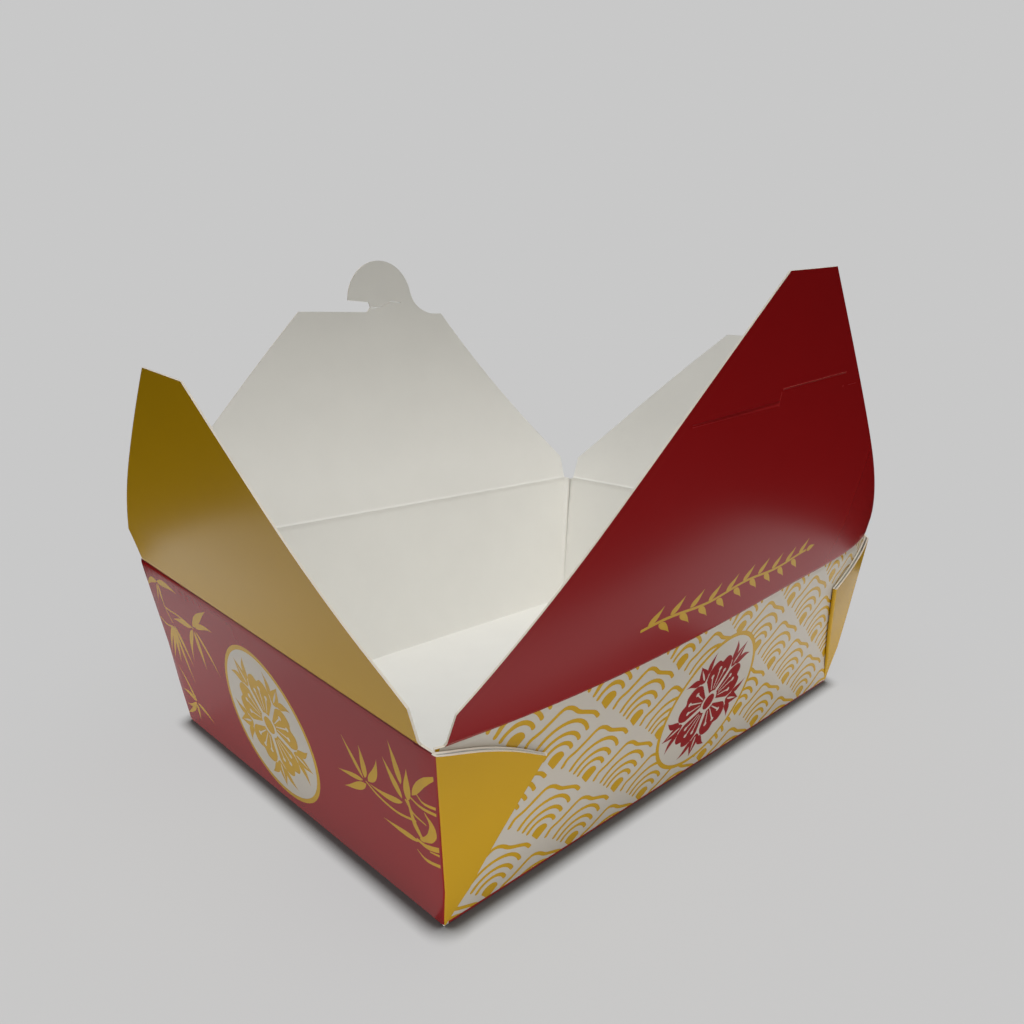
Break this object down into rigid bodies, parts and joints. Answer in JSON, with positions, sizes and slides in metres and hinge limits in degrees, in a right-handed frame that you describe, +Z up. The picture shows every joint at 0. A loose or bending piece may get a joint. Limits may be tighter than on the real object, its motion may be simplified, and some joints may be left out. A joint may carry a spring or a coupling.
{
  "type": "open noodle takeaway box",
  "caption": "Open folded paperboard takeaway box with flaring walls, corner webs folded flat outside, and hinged top flaps with a tab and slot.",
  "frame": {"origin": "middle of the base underside, on the surface the box stands on", "axes": "+X along the long sides, +Y from the front (patterned) wall to the back wall, +Z up; the left short wall is at -X"},
  "size_m": [0.2604, 0.1971, 0.1638],
  "materials": {
    "printed_board": "satin",
    "red_board": "gloss",
    "gold_board": "gloss"
  },
  "bodies": {
    "tray": {"tray": "printed_board"},
    "front_flap": {"flap_front": "red_board"},
    "right_flap": {"flap_right": "gold_board"},
    "back_flap": {"flap_back": "red_board"},
    "left_flap": {"flap_left": "gold_board"}
  },
  "joints": [
    {"name": "left_flap_fold", "type": "hinge", "parent": "tray", "child": "left_flap", "pos_m": [-0.1119, -0.0063, 0.05975], "axis": [0.0461, 0.9989, 0.0106], "range_deg": [-75, 112]},
    {"name": "right_flap_fold", "type": "hinge", "parent": "tray", "child": "right_flap", "pos_m": [0.1084, 0.0012, 0.06095], "axis": [-0.0197, -0.9998, -0.0059], "range_deg": [-75, 112]},
    {"name": "front_flap_fold", "type": "hinge", "parent": "tray", "child": "front_flap", "pos_m": [-0.0038, -0.083, 0.05945], "axis": [-0.9984, -0.0555, -0.0088], "range_deg": [0, 94]},
    {"name": "back_flap_fold", "type": "hinge", "parent": "tray", "child": "back_flap", "pos_m": [0.0024, 0.07955, 0.06125], "axis": [1, 0.0061, 0.0014], "range_deg": [-75, 89]}
  ]
}
